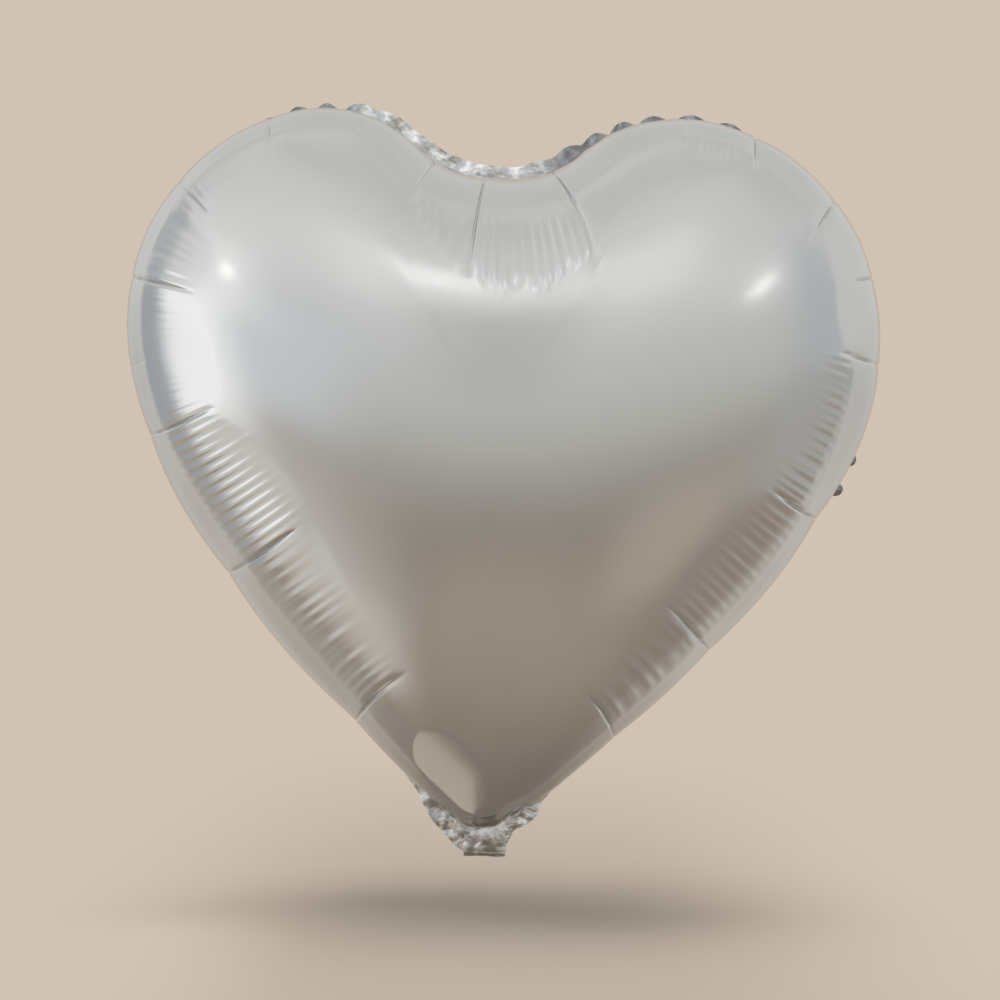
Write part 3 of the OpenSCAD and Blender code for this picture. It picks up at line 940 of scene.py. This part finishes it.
BACK_STOPS = [
    (-1.0, 0.45, 0.39, 0.33), (-0.75, 0.54, 0.48, 0.42), (-0.55, 0.67, 0.61, 0.545),
    (-0.35, 0.76, 0.73, 0.68), (-0.15, 0.74, 0.73, 0.70), (0.05, 0.80, 0.80, 0.78),
    (0.2, 0.87, 0.87, 0.86), (0.5, 0.88, 0.88, 0.88), (0.7, 0.83, 0.83, 0.81),
    (0.9, 0.81, 0.81, 0.79), (0.96, 0.84, 0.84, 0.82), (1.0, 0.90, 0.90, 0.88),
]
LEFT_STOPS = [
    (-1.0, 0.46, 0.40, 0.35), (-0.55, 0.57, 0.52, 0.46), (-0.3, 0.55, 0.53, 0.50),
    (-0.15, 0.53, 0.56, 0.60), (0.05, 0.54, 0.575, 0.615), (0.25, 0.60, 0.63, 0.66),
    (0.45, 0.66, 0.69, 0.71), (0.6, 0.74, 0.76, 0.77), (0.75, 0.91, 0.92, 0.91),
    (0.95, 0.93, 0.93, 0.91),
]
RIGHT_STOPS = [
    (-1.0, 0.26, 0.215, 0.17), (-0.75, 0.40, 0.335, 0.28), (-0.55, 0.44, 0.37, 0.315),
    (-0.42, 0.48, 0.42, 0.37), (-0.33, 0.57, 0.55, 0.52), (-0.05, 0.59, 0.595, 0.565),
    (0.05, 0.66, 0.695, 0.71), (0.35, 0.68, 0.72, 0.76), (0.5, 0.74, 0.765, 0.785),
    (0.64, 0.87, 0.87, 0.87), (0.85, 0.84, 0.84, 0.81), (1.0, 0.84, 0.84, 0.79),
]
# Soft panels before them, and a window on the left: azimuths and their softness, how far they
# slant, heights and their softness, and colour. The azimuth is in degrees, and runs to the right
# from straight in front.
PANELS = [
    (-110, -34, 18, 35, -0.06, 0.28, 0.18, (0.875, 0.92, 0.95)),
    (34, 46, 16, 0, -0.52, -0.32, 0.14, (0.60, 0.525, 0.45)),
    (-62, -40, 30, 0, -0.58, -0.18, 0.14, (0.62, 0.575, 0.52)),
    (-62, -42, 18, 0, -0.76, -0.62, 0.10, (0.79, 0.715, 0.63)),
    (-72, -64, 36, 0, -0.54, -0.30, 0.14, (0.91, 0.88, 0.83)),
    (-58, -48, 20, 0, 0.28, 0.46, 0.14, (1.24, 1.24, 1.24)),
    (-90, -58, 19, 0, -0.14, 0.20, 0.13, (1.46, 1.47, 1.48)),
    (-10, 14, 14, 0, 0.56, 0.68, 0.10, (1.17, 1.17, 1.17)),
    (38, 62, 20, 0, 0.60, 0.80, 0.12, (0.92, 0.92, 0.91)),
    (-2, 1, 10, 0, 0.20, 0.50, 0.14, (0.71, 0.71, 0.70)),
]


def sky_ramp(stops):
    placed = [((z + 1) / 2, (r, g, b, 1)) for z, r, g, b in stops]
    return sky.node("ValToRGB", {"stops": placed}, {"Fac": way["Z"] * 0.5 + 0.5})["Color"]


def within(value, low, high, soft):
    """One between low and high, and zero past the soft edges."""
    return sky.ramp(value, low - soft, low) * (1 - sky.ramp(value, high, high + soft))


turned = sky.node("Math", {"operation": "ARCTAN2"}, {0: way["X"], 1: 0 - way["Y"]})["Value"]
azimuth = turned * (180 / math.pi)
around = sky_ramp(FRONT_STOPS)
for low, high, soft, slant, below, above, fading, colour in PANELS:
    share = within(azimuth - slant * way["Z"], low, high, soft) * within(way["Z"], below, above, fading)
    around = sky.blend(share, around, colour + (1,))
# Each wall takes over from the last, and low down on the right the one behind starts further
# round. The backdrop hangs straight behind.
around = sky.blend(sky.ramp(azimuth, 44, 62), around, sky_ramp(RIGHT_STOPS))
around = sky.blend(sky.ramp(0 - azimuth, 79, 87), around, sky_ramp(LEFT_STOPS))
low_right = 20 * sky.ramp(0 - way["Z"], -0.06, 0.08)
around = sky.blend(sky.ramp(azimuth - low_right, 76, 86), around, sky_ramp(BACK_STOPS))
around = sky.blend(sky.ramp(0 - azimuth, 106, 118), around, sky_ramp(BACK_STOPS))
around = sky.blend(sky.ramp(way["Y"], 0.70, 0.94), around, BACKDROP_COLOUR)
glow = sky.node("Background", {}, {"Color": around, "Strength": 1.0})
sky.node("OutputWorld", {}, {"Surface": glow["Background"]})


def looking(place, direction, roll):
    """The place and turn of a lamp or camera that looks along a direction."""
    back = -np.array(direction, float)
    back /= np.linalg.norm(back)
    right = np.cross([0, 0, 1], back)
    right /= np.linalg.norm(right)
    up = np.cross(back, right)
    right, up = (right * math.cos(roll) + up * math.sin(roll),
                 up * math.cos(roll) - right * math.sin(roll))
    turn = Matrix((tuple(right), tuple(up), tuple(back))).transposed()
    return Matrix.Translation(place) @ turn.to_4x4()


def softbox(name, place, direction, size, radiance, roll=0):
    """A lamp of that radiance over its face, which the camera doesn't see."""
    data = bpy.data.lights.new(name, "AREA")
    data.shape = "RECTANGLE"
    data.size, data.size_y = size
    data.energy = radiance * math.pi * size[0] * size[1]
    lamp = bpy.data.objects.new(name, data)
    bpy.context.scene.collection.objects.link(lamp)
    lamp.matrix_world = looking(place, direction, math.radians(roll))
    lamp.visible_camera = False
    return lamp


LAMP_DISTANCE = 2
CROWN_PLACE = np.array([0, -0.07, 0.22])


def lamp_at(name, azimuth, elevation, size, radiance, roll=0):
    """A small lamp off the crown, as seen from there at those angles."""
    az, el = math.radians(azimuth), math.radians(elevation)
    toward = np.array([math.sin(az) * math.cos(el), -math.cos(az) * math.cos(el), math.sin(el)])
    return softbox(name, CROWN_PLACE + LAMP_DISTANCE * toward, -toward, size, radiance, roll)


lamp_at("key_left", -51, 23.5, (0.11, 0.07), 2.8)
lamp_at("key_right", 44.8, 24.6, (0.32, 0.032), 4.4, roll=27)
lamp_at("key_high", -4.4, 44.7, (0.24, 0.014), 6.0, roll=76)

# A glowing card flat on the floor, which the camera and diffuse surfaces don't see and which
# casts no shadow: it only shows as a painted reflection in the flat just over the neck.
CARD = [(-78, -68), (-78, -8), (-13, -8), (-25, -41)]
CARD_HEIGHT, CARD_GLOW_COLOUR = -39, (0.676, 0.590, 0.497, 1)
card_mesh = bpy.data.meshes.new("card")
card_mesh.from_pydata([(x * MM, y * MM, CARD_HEIGHT * MM) for x, y in CARD], [], [(0, 1, 2, 3)])
card = bpy.data.objects.new("card", card_mesh)
bpy.context.scene.collection.objects.link(card)
card.visible_camera = card.visible_shadow = card.visible_diffuse = False
# The card glows though it is no lamp: its light is a painted reflection.
card_glow_material = material("glowing_reflection_card")
card_glow = card_glow_material.node("Emission", {}, {"Color": CARD_GLOW_COLOUR, "Strength": 1.0})
card_glow_material.node("OutputMaterial", {}, {"Surface": card_glow["Emission"]})
card_mesh.materials.append(card_glow_material.owner)

# A wide lamp overhead lights the floor, and leaves the foil's reflections alone.
overhead = softbox("overhead", (-0.06, 0.1, 2.0), (0.06, -0.1, -2.0), (3.0, 0.9), 3.3)
overhead.visible_glossy = False

# The camera looks level along Y, from straight in front, and is rolled by a degree.
CAMERA_DISTANCE, VIEW_WIDTH, SENSOR_WIDTH = 1.6, 0.505, 36
CAMERA_X, CAMERA_HEIGHT, CAMERA_ROLL = 0.0038, 0.1658, math.radians(1.316)
camera_data = bpy.data.cameras.new("camera")
camera_data.lens = SENSOR_WIDTH * CAMERA_DISTANCE / VIEW_WIDTH
camera = bpy.data.objects.new("camera", camera_data)
bpy.context.scene.collection.objects.link(camera)
camera.matrix_world = looking((CAMERA_X, -CAMERA_DISTANCE, CAMERA_HEIGHT), (0, 1, 0), CAMERA_ROLL)
bpy.context.scene.camera = camera
bpy.context.scene.view_settings.view_transform = "Standard"
